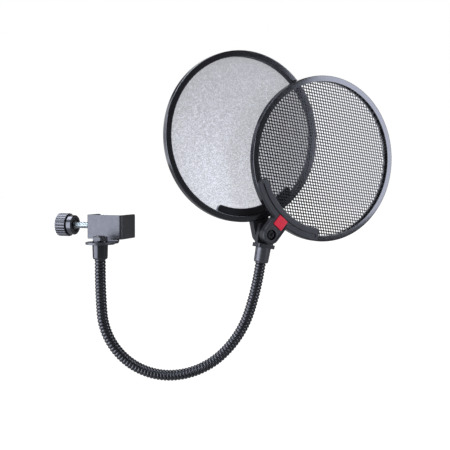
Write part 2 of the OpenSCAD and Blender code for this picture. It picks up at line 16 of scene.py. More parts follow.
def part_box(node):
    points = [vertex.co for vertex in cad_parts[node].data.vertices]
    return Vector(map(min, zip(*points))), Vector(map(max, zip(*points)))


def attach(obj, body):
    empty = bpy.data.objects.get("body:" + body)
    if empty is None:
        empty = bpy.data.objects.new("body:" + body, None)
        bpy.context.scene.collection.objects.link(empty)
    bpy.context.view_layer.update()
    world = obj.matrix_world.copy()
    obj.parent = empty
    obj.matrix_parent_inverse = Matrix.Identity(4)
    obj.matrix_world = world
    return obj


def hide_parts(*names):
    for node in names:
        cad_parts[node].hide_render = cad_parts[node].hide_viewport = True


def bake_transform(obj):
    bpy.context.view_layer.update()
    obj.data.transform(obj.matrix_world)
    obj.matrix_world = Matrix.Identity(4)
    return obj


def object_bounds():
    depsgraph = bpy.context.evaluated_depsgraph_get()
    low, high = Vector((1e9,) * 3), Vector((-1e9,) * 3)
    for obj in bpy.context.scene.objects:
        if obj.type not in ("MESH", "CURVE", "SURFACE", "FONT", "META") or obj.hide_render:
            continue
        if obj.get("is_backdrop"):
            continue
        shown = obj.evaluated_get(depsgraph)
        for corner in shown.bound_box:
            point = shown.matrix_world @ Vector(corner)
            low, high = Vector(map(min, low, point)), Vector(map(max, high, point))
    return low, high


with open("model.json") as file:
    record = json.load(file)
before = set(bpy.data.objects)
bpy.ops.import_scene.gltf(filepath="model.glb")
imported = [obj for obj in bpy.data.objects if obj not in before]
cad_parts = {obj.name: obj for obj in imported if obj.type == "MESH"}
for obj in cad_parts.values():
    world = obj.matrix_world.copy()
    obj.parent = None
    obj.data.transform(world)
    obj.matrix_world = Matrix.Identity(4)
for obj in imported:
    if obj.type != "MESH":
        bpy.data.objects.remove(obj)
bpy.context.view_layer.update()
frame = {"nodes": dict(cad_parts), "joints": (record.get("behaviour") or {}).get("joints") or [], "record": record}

MM = 0.001
body_of = {node: body for body, nodes in frame["record"]["behaviour"]["bodies"].items() for node in nodes}
joints = {joint["name"]: joint for joint in frame["joints"]}

# %% [markdown]
# ## The camera
# A likeness is judged through one lens, so the camera comes before any modelling. Here it is a short
# telephoto that stands a little above the middle of the object and about 20 degrees round to its right.

# %% Place the camera
PICTURE_W = 450
FOCAL_LENGTH_PX = 795.9
SENSOR_W = 36.0
CAMERA_AT = Vector((342.9, -660.0, 45.2)) * MM
CAMERA_TURN = math.radians(19.98)
CAMERA_TILT = math.radians(3.40)
CAMERA_ROLL = math.radians(0.23)

bpy.ops.object.select_all(action="DESELECT")
bpy.ops.object.camera_add()
camera = bpy.context.object
camera.name = "portrait_camera"
camera.data.sensor_width = SENSOR_W
camera.data.lens = SENSOR_W * FOCAL_LENGTH_PX / PICTURE_W
camera.matrix_world = (
    Matrix.Translation(CAMERA_AT)
    @ Matrix.Rotation(CAMERA_TURN, 4, "Z")
    @ Matrix.Rotation(math.pi / 2 - CAMERA_TILT, 4, "X")
    @ Matrix.Rotation(CAMERA_ROLL, 4, "Z")
)
bpy.context.scene.camera = camera
print("camera: lens", round(camera.data.lens, 1), "mm")

# %% [markdown]
# ## Tools of the bench
# Modelling by hand comes down to a few moves that are made again and again: select one thing, open it, draw a
# line point by point, spin it, trim it, and put it in its place. Each move gets a short helper, so that the
# steps after this read like a description of the piece.

# %% Select, edit and apply
MELD = 2e-6


def pick(obj):
    bpy.ops.object.select_all(action="DESELECT")
    obj.select_set(True)
    bpy.context.view_layer.objects.active = obj
    return obj


def edit(obj):
    """Opens a piece for editing with all of it selected."""
    pick(obj)
    bpy.ops.object.mode_set(mode="EDIT")
    bpy.ops.mesh.select_all(action="SELECT")


def leave():
    bpy.ops.object.mode_set(mode="OBJECT")


def edit_points(obj, chosen):
    """Opens a piece for editing with only the points selected that pass a test."""
    edit(obj)
    bpy.ops.mesh.select_all(action="DESELECT")
    leave()
    for vertex in obj.data.vertices:
        vertex.select = chosen(vertex.co)
    bpy.ops.object.mode_set(mode="EDIT")


def edit_edges(obj, chosen):
    """Opens a piece for editing with only the edges selected that pass a test."""
    edit(obj)
    bpy.ops.mesh.select_mode(type="EDGE")
    bpy.ops.mesh.select_all(action="DESELECT")
    mesh = bmesh.from_edit_mesh(obj.data)
    for line in mesh.edges:
        line.select_set(chosen(line))
    bmesh.update_edit_mesh(obj.data)


def apply_modifier(obj, kind, **settings):
    pick(obj)
    modifier = obj.modifiers.new(kind.title(), kind)
    for key, value in settings.items():
        setattr(modifier, key, value)
    bpy.ops.object.modifier_apply(modifier=modifier.name)
    return obj


def weld(obj):
    """Merges doubled points and turns every face outwards."""
    edit(obj)
    bpy.ops.mesh.remove_doubles(threshold=MELD)
    bpy.ops.mesh.normals_make_consistent(inside=False)
    leave()
    return obj


def settle(obj, place):
    """Carries a finished shape to its place, and puts that place into its mesh."""
    pick(obj)
    obj.matrix_world = place
    bpy.ops.object.transform_apply(location=True, rotation=True, scale=True)
    return obj


def smooth(obj, degrees=35):
    pick(obj)
    bpy.ops.object.shade_smooth_by_angle(angle=math.radians(degrees))
    return obj


# %% Draw, spin, wind and trim
def draw_line(name, points):
    """Pulls one vertex out, step by step, into a line of edges."""
    bpy.ops.object.select_all(action="DESELECT")
    bpy.ops.mesh.primitive_plane_add(size=MM)
    line = bpy.context.object
    line.name = line.data.name = name
    bpy.ops.object.mode_set(mode="EDIT")
    bpy.ops.mesh.merge(type="CENTER")
    bpy.ops.transform.translate(value=points[0])
    for here, there in zip(points, points[1:]):
        bpy.ops.mesh.extrude_region_move(TRANSFORM_OT_translate={"value": there - here})
    leave()
    return line


def eased(corners, steps=5):
    """Rounds the corners (radius, height, rounding) of a closed profile with short arcs."""
    points = []
    for i, (x, z, rounding) in enumerate(corners):
        here = Vector((x, z))
        if rounding == 0:
            points.append(here)
            continue
        before = (Vector(corners[i - 1][:2]) - here).normalized()
        after = (Vector(corners[(i + 1) % len(corners)][:2]) - here).normalized()
        half = before.angle(after) / 2
        centre = here + (before + after).normalized() * rounding / math.sin(half)
        start = (here + before * rounding / math.tan(half) - centre).normalized()
        end = (here + after * rounding / math.tan(half) - centre).normalized()
        points += [centre + start.slerp(end, k / steps) * rounding for k in range(steps + 1)]
    return points


def lathe(name, profile, place, steps):
    """Spins a closed profile of (radius, height) points round the Z axis, then puts it in its place."""
    points = [Vector((r, 0, z)) for r, z in profile]
    solid = draw_line(name, points + points[:1])
    edit(solid)
    bpy.ops.mesh.spin(steps=steps, angle=2 * math.pi, center=(0, 0, 0), axis=(0, 0, 1))
    leave()
    return smooth(settle(weld(solid), place))


def wind(name, profile, pitch, turns, steps):
    """Winds one pitch of a profile into a helix that climbs the Z axis from one pitch below zero."""
    helix = draw_line(name, [Vector((r, 0, z - pitch)) for r, z in profile])
    apply_modifier(helix, "SCREW", angle=2 * math.pi, screw_offset=pitch, iterations=turns,
                   steps=steps, render_steps=steps)
    return weld(helix)


def trim(obj, low, high):
    """Cuts a piece square at two heights and closes its ends."""
    edit(obj)
    for height, waste in ((low, "clear_inner"), (high, "clear_outer")):
        bpy.ops.mesh.select_all(action="SELECT")
        bpy.ops.mesh.bisect(plane_co=(0, 0, height), plane_no=(0, 0, 1), use_fill=True, threshold=MELD,
                            **{waste: True})
    leave()
    return obj


def combine(obj, tool, operation):
    """Joins, cuts or trims a piece with a second shape, which is then gone."""
    apply_modifier(obj, "BOOLEAN", object=tool, operation=operation, solver="MANIFOLD")
    bpy.data.objects.remove(tool)
    return obj


# %% Measure the frame
def local_box(node, place):
    """Lowest and highest corner of a node, measured along the axes of a place."""
    back = place.inverted()
    points = [back @ v.co for v in frame["nodes"][node].data.vertices]
    low = Vector([min(p[k] for p in points) for k in range(3)])
    high = Vector([max(p[k] for p in points) for k in range(3)])
    return low, high


def axes(origin, x, y, z):
    """The place whose own axes are x, y and z."""
    return Matrix.Translation(origin) @ Matrix((x, y, z)).transposed().to_4x4()


def screen_place(swing, ring, outward):
    """A screen's own axes: across, from the pivot to the ring's centre, and outwards from the tongue."""
    pivot = Vector(joints[swing]["pos_m"])
    out = Vector(joints[swing]["axis"]).normalized() * outward
    low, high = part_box(ring)
    up = (low + high) / 2 - pivot
    up = (up - out * up.dot(out)).normalized()
    return axes(pivot, up.cross(out), up, out)


steel_place = screen_place("steel_swing", "steel_ring", -1)
fabric_place = screen_place("fabric_swing", "fabric_ring", 1)
for place, ring in ((steel_place, "steel_ring"), (fabric_place, "fabric_ring")):
    low, high = local_box(ring, place)
    size = [round(x / MM, 2) for x in high - low]
    print(ring, "is", size, "mm, and starts", round(low.z / MM, 2), "mm out")

# %% [markdown]
# ## Finishes
# Almost everything here is black, and black things are told apart by how they shine. So each finish is mostly
# a roughness, a fine bump at its real scale, and a little unevenness in both. The patterns are worked out
# from object coordinates in metres, so a noise scale of 1000 makes grains about a millimetre across.

# %% Helpers for the finishes
NOISE_LOW, NOISE_HIGH = 0.3, 0.7
finishes = {}


def new_finish(slot, colour, roughness, metallic=0.0, specular=0.5, tint=(1, 1, 1)):
    """A material under the name of its slot, with its even values on the shader's own sockets."""
    material = bpy.data.materials.new(slot)
    material.use_nodes = True
    shader = material.node_tree.nodes["Principled BSDF"]
    shader.inputs["Base Color"].default_value = (*colour, 1)
    shader.inputs["Roughness"].default_value = roughness
    shader.inputs["Metallic"].default_value = metallic
    shader.inputs["Specular IOR Level"].default_value = specular
    shader.inputs["Specular Tint"].default_value = (*tint, 1)
    finishes[slot] = material
    return material.node_tree, shader


def surface_grid(tree, stretch=(1, 1, 1), turn=(0, 0, 0)):
    """Object coordinates, stretched and turned for one pattern."""
    source = tree.nodes.new("ShaderNodeTexCoord")
    mapping = tree.nodes.new("ShaderNodeMapping")
    mapping.inputs["Scale"].default_value = stretch
    mapping.inputs["Rotation"].default_value = turn
    tree.links.new(source.outputs["Object"], mapping.inputs["Vector"])
    return mapping.outputs["Vector"]


def grain(tree, grid, scale, detail=2.0):
    noise = tree.nodes.new("ShaderNodeTexNoise")
    noise.inputs["Scale"].default_value = scale
    noise.inputs["Detail"].default_value = detail
    tree.links.new(grid, noise.inputs["Vector"])
    return noise.outputs["Fac"]


def uneven(tree, source, socket, low, high):
    """Lets a pattern drive a value between two limits."""
    spread = tree.nodes.new("ShaderNodeMapRange")
    spread.inputs["From Min"].default_value = NOISE_LOW
    spread.inputs["From Max"].default_value = NOISE_HIGH
    spread.inputs["To Min"].default_value = low
    spread.inputs["To Max"].default_value = high
    tree.links.new(source, spread.inputs["Value"])
    tree.links.new(spread.outputs["Result"], socket)


def two_tone(tree, source, socket, first, last, low=0.35, high=0.65):
    """Lets a pattern drive a colour from a first tone to a last one."""
    tones = tree.nodes.new("ShaderNodeValToRGB")
    tones.color_ramp.elements[0].position = low
    tones.color_ramp.elements[0].color = (*first, 1)
    tones.color_ramp.elements[1].position = high
    tones.color_ramp.elements[1].color = (*last, 1)
    tree.links.new(source, tones.inputs["Fac"])
    tree.links.new(tones.outputs["Color"], socket)


def relief(tree, shader, height, depth, strength=1.0):
    """Raises a surface by a pattern."""
    bump = tree.nodes.new("ShaderNodeBump")
    bump.inputs["Distance"].default_value = depth
    bump.inputs["Strength"].default_value = strength
    tree.links.new(height, bump.inputs["Height"])
    tree.links.new(bump.outputs["Normal"], shader.inputs["Normal"])


# %% Black finishes
COOL = (0.84, 0.88, 1.0)
BLUER = 1.15
CLOUDS_A_METRE = 60
SHINES_A_METRE = 240
CLOUD_DETAIL = 4
FINE_DETAIL = 3


def black_finish(slot, dark, light, rough, specular, grain_size, grain_depth):
    """Paint, rubber or moulding: a cloudy black, an uneven cool shine and a fine grain."""
    tree, shader = new_finish(slot, (light, light, light), rough[1], specular=specular, tint=COOL)
    grid = surface_grid(tree)
    tones = [(tone, tone, tone * BLUER) for tone in (dark, light)]
    two_tone(tree, grain(tree, grid, CLOUDS_A_METRE, CLOUD_DETAIL), shader.inputs["Base Color"], *tones)
    uneven(tree, grain(tree, grid, SHINES_A_METRE, FINE_DETAIL), shader.inputs["Roughness"], *rough)
    relief(tree, shader, grain(tree, grid, 1 / grain_size, FINE_DETAIL), grain_depth)


# Each line gives a dark and a light tone, the range of roughness, the shine, and the grain's size and depth
BLACKS = {
    "powder_black": (0.010, 0.015, (0.36, 0.44), 1.0, 0.6 * MM, 0.010 * MM),
    "gloss_black_metal": (0.005, 0.008, (0.18, 0.24), 0.65, 0.8 * MM, 0.001 * MM),
    # Rougher than the gloss metal, and its lighter tone is a painted highlight for the upper ferrule.
    "satin_lit_black_metal": (0.020, 0.028, (0.32, 0.38), 1.0, 0.6 * MM, 0.002 * MM),
    "gooseneck_black": (0.004, 0.007, (0.20, 0.26), 0.75, 0.5 * MM, 0.002 * MM),
    "black_rubber": (0.007, 0.011, (0.70, 0.85), 0.25, 0.7 * MM, 0.030 * MM),
    "black_plastic": (0.006, 0.009, (0.38, 0.46), 0.7, 0.4 * MM, 0.003 * MM),
    "polished_plastic": (0.006, 0.009, (0.12, 0.15), 1.0, 0.6 * MM, 0.001 * MM),
    "worn_plastic": (0.008, 0.012, (0.22, 0.27), 1.0, 0.4 * MM, 0.0003 * MM),
    "grained_plastic": (0.008, 0.012, (0.62, 0.72), 0.3, 0.5 * MM, 0.010 * MM),
    "perforated_black": (0.004, 0.006, (0.18, 0.22), 0.4, 0.4 * MM, 0.002 * MM),
}
for slot, values in BLACKS.items():
    black_finish(slot, *values)
print("black finishes:", len(finishes))


# %% Zinc, nylon and the red badge
def cloudy(tree, shader, clouds_a_metre, dark, light):
    """Lets faint clouds drive a finish from a darker to a lighter colour."""
    clouds = grain(tree, surface_grid(tree), clouds_a_metre, FINE_DETAIL)
    two_tone(tree, clouds, shader.inputs["Base Color"], dark, light)


def zinc_finish():
    """Bright zinc plate: a cool metal with faint clouds and fine turning marks."""
    tree, shader = new_finish("zinc_steel", colour=(0.45, 0.50, 0.52), roughness=0.4, metallic=1.0)
    cloudy(tree, shader, clouds_a_metre=180, dark=(0.40, 0.45, 0.47), light=(0.50, 0.55, 0.57))
    blotches = grain(tree, surface_grid(tree), scale=500, detail=FINE_DETAIL)
    uneven(tree, blotches, shader.inputs["Roughness"], low=0.34, high=0.42)
    turning_marks = grain(tree, surface_grid(tree, stretch=(8, 1, 1)), scale=400)
    relief(tree, shader, turning_marks, depth=0.01 * MM)


def nylon_finish():
    """Natural nylon: off-white, waxy, slightly mottled."""
    tree, shader = new_finish("pale_plastic", colour=(0.72, 0.70, 0.64), roughness=0.45)
    cloudy(tree, shader, clouds_a_metre=150, dark=(0.66, 0.64, 0.57), light=(0.75, 0.73, 0.68))
    relief(tree, shader, grain(tree, surface_grid(tree), scale=900), depth=0.01 * MM)


def badge_finish():
    """A bare red plate with a soft sheen, a touch deeper in places."""
    tree, shader = new_finish("red_badge", colour=(0.58, 0.006, 0.035), roughness=0.35, specular=0.4)
    cloudy(tree, shader, clouds_a_metre=220, dark=(0.53, 0.004, 0.028), light=(0.63, 0.008, 0.042))
    relief(tree, shader, grain(tree, surface_grid(tree), scale=700), depth=0.003 * MM)


zinc_finish()
nylon_finish()
badge_finish()
print("finishes so far:", sorted(finishes))


# %% Hand a piece over
def hand_over(obj, slot, *nodes, look=None):
    """Levels a piece's flat faces, gives it its finish, and lets it ride in place of its nodes."""
    apply_modifier(obj, "WEIGHTED_NORMAL", keep_sharp=True)
    obj.data.materials.clear()
    obj.data.materials.append(finishes[look or slot])
    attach(obj, body_of[nodes[0]])
    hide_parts(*nodes)
    print(obj.name, "has", len(obj.data.polygons), "faces")
    return obj


# %% [markdown]
# ## Pieces whose solid is already right
# A bent bracket, a moulded arm or a washer has its true shape in the frame, but its edges are sharper than
# any real edge. A bevelled edge catches a thin line of light, which is most of what makes a part look real.
# So each of these gets a copy with its loose triangles welded, its flat faces made whole again, and its edges
# eased.

# %% Ease the edges of copies
FLAT_WITHIN = math.radians(0.4)
EDGE_OVER = math.radians(32)


def clean_copy(node):
    """A copy of a node with its triangles welded and its flat faces made whole."""
    copy = bpy.data.objects.new(node + "_eased", frame["nodes"][node].data.copy())
    bpy.context.scene.collection.objects.link(copy)
    pick(copy)
    bpy.ops.mesh.customdata_custom_splitnormals_clear()
    edit(copy)
    bpy.ops.mesh.remove_doubles(threshold=MELD)
    bpy.ops.mesh.dissolve_limited(angle_limit=FLAT_WITHIN)
    leave()
    return copy


def ease_edges(copy, width):
    apply_modifier(copy, "BEVEL", width=width, segments=2, limit_method="ANGLE", angle_limit=EDGE_OVER)
    return smooth(copy)


# The width of each node's eased edges, under the slot of its finish
EASED = {
    "powder_black": {"clamp_bracket": 0.3 * MM},
    "zinc_steel": {"thread_bush": 0.2 * MM, "swivel_foot": 0.3 * MM},
    "black_rubber": {"jaw_pad": 0.2 * MM, "foot_facing": 0.25 * MM, "steel_strip": 0.25 * MM,
                     "fabric_strip": 0.25 * MM},
    "black_plastic": {"hinge_block": 0.5 * MM},
    "gloss_black_metal": {"pivot_screw": 0.15 * MM, "lock_washer": 0.15 * MM},
    "pale_plastic": {"friction_washers": 0.1 * MM},
    "red_badge": {"badge": 0.2 * MM},
}
for slot, edges in EASED.items():
    for node, width in edges.items():
        hand_over(ease_edges(clean_copy(node), width), slot, node)

# %% [markdown]
# ## The two arms
# Each arm is one moulding with a lug at the pivot and a curved cradle under its ring. The outer edges of its
# face are rounded much more than the rest, which gives the moulding its soft look. Those edges are found by
# their place: they lie in the face, and the wall below them is taller than the shallow pocket's.

# %% Round the faces of the arms
FACE_ROUND = 1.1 * MM
FACE_STEPS = 4
ARM_EDGE = 0.3 * MM
SAME_LEVEL = 0.01 * MM
DEEPER_THAN_POCKET = 0.88 * MM


def face_edges(face_z, back):
    """A test for the edges that bound an arm's face on the outside."""
    def chosen(line):
        if any(abs((back @ v.co).z - face_z) > SAME_LEVEL for v in line.verts):
            return False
        lowest = min((back @ v.co).z for face in line.link_faces for v in face.verts)
        return lowest < face_z - DEEPER_THAN_POCKET
    return chosen


for half, place in (("steel", steel_place), ("fabric", fabric_place)):
    arm = clean_copy(half + "_arm")
    edit_edges(arm, face_edges(local_box(half + "_arm", place)[1].z, place.inverted()))
    bpy.ops.mesh.bevel(offset=FACE_ROUND, segments=FACE_STEPS, clamp_overlap=False)
    bpy.ops.mesh.select_mode(type="VERT")
    leave()
    hand_over(ease_edges(arm, ARM_EDGE), "black_plastic", half + "_arm")

# %% [markdown]
# ## The two rings and their hoops
# Each screen is held between a ring, which has a flange at its back, and a thinner hoop pressed in from the
# front. Both are round mouldings, so one profile spun once round the axis makes each of them. The front edges
# are rounded generously, and the split between ring and hoop is only a hairline.

# %% Spin the rings and hoops
RING_EDGE = 0.8 * MM
RING_WALL = 3.1 * MM
RING_FACE = 5.4 * MM
HAIRLINE = 0.02 * MM
FLANGE_EDGE = 0.5 * MM
HOOP_EDGE = 0.25 * MM
SCREEN_T = 0.6 * MM
RING_STEPS = 180


def screen_ring(half, place):
    """Makes a screen's ring and hoop, and tells where the screen lies and how wide it is."""
    ring_low, ring_high = local_box(half + "_ring", place)
    hoop_back = local_box(half + "_hoop", place)[0].z
    outer = (ring_high.x - ring_low.x) / 2
    split = outer - RING_WALL
    inner = outer - RING_FACE
    centre = place @ Matrix.Translation((0, (ring_low.y + ring_high.y) / 2, 0))
    back, front, shelf = ring_low.z, ring_high.z, hoop_back - SCREEN_T
    ring = lathe(half + "_ring_moulding", eased([
        (inner, back, FLANGE_EDGE), (outer, back, RING_EDGE), (outer, front, RING_EDGE),
        (split, front, HAIRLINE), (split, shelf, 0), (inner, shelf, HAIRLINE)]), centre, RING_STEPS)
    hand_over(ring, "polished_plastic", half + "_ring")
    hoop = lathe(half + "_hoop_moulding", eased([
        (inner, hoop_back, HAIRLINE), (split, hoop_back, HAIRLINE),
        (split, front, HAIRLINE), (inner, front, HOOP_EDGE)]), centre, RING_STEPS)
    hand_over(hoop, "polished_plastic", half + "_hoop")
    across, shown = round(2 * split / MM, 1), round(2 * inner / MM, 1)
    print(half, "screen is", across, "mm across, and", shown, "mm of it shows")
    return centre, split, shelf


steel_centre, sheet_r, sheet_shelf = screen_ring("steel", steel_place)
fabric_centre, fabric_r, fabric_shelf = screen_ring("fabric", fabric_place)

# %% [markdown]
# ## The perforated sheet
# The front screen is thin steel with about two thousand holes in slanting rows. A picture of holes would look
# flat from the side, so the holes are real. One cell is a border with a hole in it, joined by a bridge of
# faces. Two Array modifiers repeat it into rows, Solidify gives it the thickness of the steel, and a disc
# trims it to size.

# %% Make one cell and repeat it
HOLE_PITCH = 2.82 * MM
ROW_PITCH = 2.73 * MM
ROW_SHIFT = 0.98 * MM
HOLE_W = 2.14 * MM
HOLE_H = 2.06 * MM
STEEL_T = 0.3 * MM
ROW_SLOPE = math.radians(-7.4)
CELL_SIDE_PARTS = 3


def perforated_cell():
    """A four-sided border, bridged to the rim of one oval hole, then slanted so that rows step sideways."""
    bpy.ops.object.select_all(action="DESELECT")
    bpy.ops.mesh.primitive_plane_add(size=1)
    cell = bpy.context.object
    cell.name = cell.data.name = "perforated_sheet"
    edit(cell)
    bpy.ops.transform.resize(value=(HOLE_PITCH, ROW_PITCH, 1))
    bpy.ops.mesh.subdivide(number_cuts=CELL_SIDE_PARTS - 1)
    leave()
    edit_points(cell, lambda co: abs(co.x) < HOLE_PITCH / 4 and abs(co.y) < ROW_PITCH / 4)
    bpy.ops.mesh.delete(type="VERT")
    bpy.ops.mesh.primitive_circle_add(vertices=4 * CELL_SIDE_PARTS, radius=HOLE_W / 2, fill_type="NOTHING")
    bpy.ops.transform.resize(value=(1, HOLE_H / HOLE_W, 1))
    bpy.ops.mesh.select_all(action="SELECT")
    bpy.ops.mesh.bridge_edge_loops()
    leave()
    slant = Matrix.Identity(4)
    slant[0][1] = -ROW_SHIFT / ROW_PITCH
    cell.data.transform(slant)
    return cell


def perforated_sheet():
    sheet = perforated_cell()
    rows = 2 * math.ceil(sheet_r / ROW_PITCH) + 1
    columns = 2 * math.ceil((sheet_r + sheet_r * ROW_SHIFT / ROW_PITCH) / HOLE_PITCH) + 1
    for count, step in ((columns, (HOLE_PITCH, 0, 0)), (rows, (-ROW_SHIFT, ROW_PITCH, 0))):
        apply_modifier(sheet, "ARRAY", count=count, use_relative_offset=False, use_constant_offset=True,
                       constant_offset_displace=step)
    corner = Vector((HOLE_PITCH, 0, 0)) * (columns - 1) + Vector((-ROW_SHIFT, ROW_PITCH, 0)) * (rows - 1)
    settle(sheet, Matrix.Translation(-corner / 2))
    weld(sheet)
    apply_modifier(sheet, "SOLIDIFY", thickness=STEEL_T, offset=0)
    bpy.ops.object.select_all(action="DESELECT")
    bpy.ops.mesh.primitive_cylinder_add(vertices=RING_STEPS, radius=sheet_r, depth=4 * STEEL_T)
    return combine(sheet, bpy.context.object, "INTERSECT")


out = Vector(steel_place.col[2][:3])
level = Vector((0, 0, 1)).cross(out).normalized()
row_line = Matrix.Rotation(ROW_SLOPE, 3, out) @ level
sheet_middle = steel_centre @ Vector((0, 0, sheet_shelf + SCREEN_T / 2))
sheet = settle(perforated_sheet(), axes(sheet_middle, row_line, out.cross(row_line), out))
hand_over(sheet, "perforated_black", "steel_sheet")

# %% [markdown]
# ## The fabric
# The rear screen is a fine knit, stretched over its hoop like a drum. It is nearly flat, so cloth simulation
# has nothing to do here: a disc with rings of points, a slight waviness and a thin body is enough, and the
# knit itself is a finish. The finish has fine loops and tufts and faint streaks along its columns, and a
# painted shade makes it darker towards the top.

# %% Knit finish
LOOP = 0.75 * MM
TUFT = 0.85 * MM
STREAK_W = 2.2 * MM
STREAK_SHAPE = (1, 0.03, 1)
FABRIC_CLOUDS_A_METRE = 30
LOOP_RELIEF = 0.05 * MM
YARN = (0.86, 0.89, 1.0)
YARN_SHADE = (0.10, 0.11, 0.17)
SHADE_FROM, SHADE_TO = 0.40, 1.25
TUFT_WEIGHT, LOOP_WEIGHT, STREAK_WEIGHT = 0.42, 0.1, 0.35
# The height weight is painted shade: it makes the fabric darker towards its top.
CLOUD_WEIGHT, PAINTED_SHADE_WEIGHT = 0.1, 0.52
FABRIC_SOLID = 0.38
fabric_out = Vector(fabric_place.col[2][:3])
fabric_level = Vector((0, 0, 1)).cross(fabric_out).normalized()
fabric_axes = axes(Vector(), fabric_level, fabric_out.cross(fabric_level), fabric_out)
fabric_turn = fabric_axes.inverted().to_euler()
fabric_middle = (fabric_axes.inverted() @ fabric_centre.translation).y


def cells(tree, grid, size):
    """Small uneven cells, each with a middle and a tone of its own."""
    node = tree.nodes.new("ShaderNodeTexVoronoi")
    node.inputs["Scale"].default_value = 1 / size
    tree.links.new(grid, node.inputs["Vector"])
    return node


def tone_of(tree, node):
    """The random tone that each cell has, as one number."""
    parts = tree.nodes.new("ShaderNodeSeparateColor")
    tree.links.new(node.outputs["Color"], parts.inputs["Color"])
    return parts.outputs["Red"]


def painted_shade_by_height(tree, grid):
    """Painted shade: from zero at the foot of the fabric to one at its top, where the knit is drawn darkest."""
    parts = tree.nodes.new("ShaderNodeSeparateXYZ")
    tree.links.new(grid, parts.inputs["Vector"])
    spread = tree.nodes.new("ShaderNodeMapRange")
    spread.inputs["From Min"].default_value = fabric_middle - fabric_r
    spread.inputs["From Max"].default_value = fabric_middle + fabric_r
    tree.links.new(parts.outputs["Y"], spread.inputs["Value"])
    return spread.outputs["Result"]


def weighed(tree, patterns):
    """The sum of several patterns, each with its own weight."""
    total = None
    for source, weight in patterns:
        node = tree.nodes.new("ShaderNodeMath")
        node.operation = "MULTIPLY_ADD"
        tree.links.new(source, node.inputs[0])
        node.inputs[1].default_value = weight
        if total:
            tree.links.new(total, node.inputs[2])
        else:
            node.inputs[2].default_value = 0.0
        total = node.outputs["Value"]
    return total


def knit_finish():
    """Pale stretched knit: each pattern darkens the yarn by its own share."""
    tree, shader = new_finish("pale_fabric", colour=(0.60, 0.62, 0.72), roughness=0.8, specular=0.1)
    grid = surface_grid(tree, turn=fabric_turn)
    loops = cells(tree, grid, LOOP)
    tufts = cells(tree, grid, TUFT)
    streaks = grain(tree, surface_grid(tree, STREAK_SHAPE, fabric_turn), 1 / STREAK_W, FINE_DETAIL)
    clouds = grain(tree, grid, FABRIC_CLOUDS_A_METRE, FINE_DETAIL)
    # The knit's own tufts, loops, streaks and clouds, plus a painted shade that darkens the top.
    shade = weighed(tree, (
        (tone_of(tree, tufts), TUFT_WEIGHT), (loops.outputs["Distance"], LOOP_WEIGHT),
        (streaks, STREAK_WEIGHT), (clouds, CLOUD_WEIGHT), (painted_shade_by_height(tree, grid), PAINTED_SHADE_WEIGHT)))
    two_tone(tree, shade, shader.inputs["Base Color"], YARN, YARN_SHADE, SHADE_FROM, SHADE_TO)
    relief(tree, shader, loops.outputs["Distance"], LOOP_RELIEF, strength=0.5)
    shader.inputs["Alpha"].default_value = FABRIC_SOLID


knit_finish()
print("the fabric's finish has", len(finishes["pale_fabric"].node_tree.nodes), "nodes")

# %% Stretch the fabric
FABRIC_T = 0.3 * MM
FABRIC_RINGS = 24
FABRIC_SPOKES = 96
WAVINESS = 0.1 * MM
WAVE_SIZE = 20 * MM


def stretched_fabric():
    bpy.ops.object.select_all(action="DESELECT")
    bpy.ops.mesh.primitive_circle_add(vertices=FABRIC_SPOKES, radius=fabric_r, fill_type="NGON")
    cloth = bpy.context.object
    cloth.name = cloth.data.name = "stretched_fabric"
    edit(cloth)
    for _ in range(FABRIC_RINGS):
        bpy.ops.mesh.inset(thickness=fabric_r / (FABRIC_RINGS + 1))
    bpy.ops.mesh.poke()
    leave()
    waves = bpy.data.textures.new("slack", "CLOUDS")
    waves.noise_scale = WAVE_SIZE
    apply_modifier(cloth, "DISPLACE", texture=waves, strength=WAVINESS, mid_level=0.5)
    apply_modifier(cloth, "SOLIDIFY", thickness=FABRIC_T, offset=0)
    return smooth(cloth, degrees=60)


fabric_place_in_ring = fabric_centre @ Matrix.Translation((0, 0, fabric_shelf + SCREEN_T / 2))
fabric = settle(stretched_fabric(), fabric_place_in_ring)
hand_over(fabric, "pale_fabric", "fabric_screen")

# %% [markdown]
# ## The gooseneck
# A gooseneck is a steel strip wound round a spring, so its ribs are one long helix and not a stack of rings.
# It is wound straight, as it is in the factory, cut into five pieces between its bending points, and then
# laid along its curve with a Curve modifier.

# %% Walk along the neck
NECK_LENGTHS = 6
LENGTH = 48 * MM
STUB = 10 * MM
NECK_TURN = math.radians(26.5)
BENDS = [math.radians(a) for a in (4, 43.5, 45, 39.5, 30, 8)]
ROLLS = [math.radians(a) for a in (0, 0, 0, -3, -1.5, 0)]
LAY_STEP = 2 * MM


def along_length(i, s):
    """The move from the start of one length of the neck to a point on it: straight, bent, straight."""
    lead_in = STUB if i == 0 else 0
    lead_out = STUB if i == NECK_LENGTHS - 1 else 0
    run = LENGTH - lead_in - lead_out
    bent = min(max(s - lead_in, 0), run)
    radius, angle = run / BENDS[i], BENDS[i] * bent / run
    return (
        Matrix.Rotation(ROLLS[i], 4, "Z")
        @ Matrix.Translation((0, 0, min(s, lead_in)))
        @ Matrix.Translation((radius * (1 - math.cos(angle)), 0, radius * math.sin(angle)))
        @ Matrix.Rotation(angle, 4, "Y")
        @ Matrix.Translation((0, 0, max(s - lead_in - run, 0)))
    )


def along_neck(s):
    """Where the neck is, and how it is turned, at a distance from the lower ferrule."""
    low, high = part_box("lower_ferrule")
    place = Matrix.Translation(((low.x + high.x) / 2, (low.y + high.y) / 2, low.z))
    place = place @ Matrix.Rotation(NECK_TURN, 4, "Z") @ Matrix.Rotation(math.pi, 4, "X")
    for i in range(NECK_LENGTHS):
        here = min(max(s - i * LENGTH, 0), LENGTH)
        place = place @ along_length(i, here)
    return place


bend_names = [f"neck_bend_{k}" for k in range(1, NECK_LENGTHS)]
misses = [
    (along_neck(k * LENGTH + LENGTH).translation - Vector(joints[name]["pos_m"])).length
    for k, name in enumerate(bend_names)
]
print("neck passes its joints within", round(max(misses) / MM, 3), "mm")

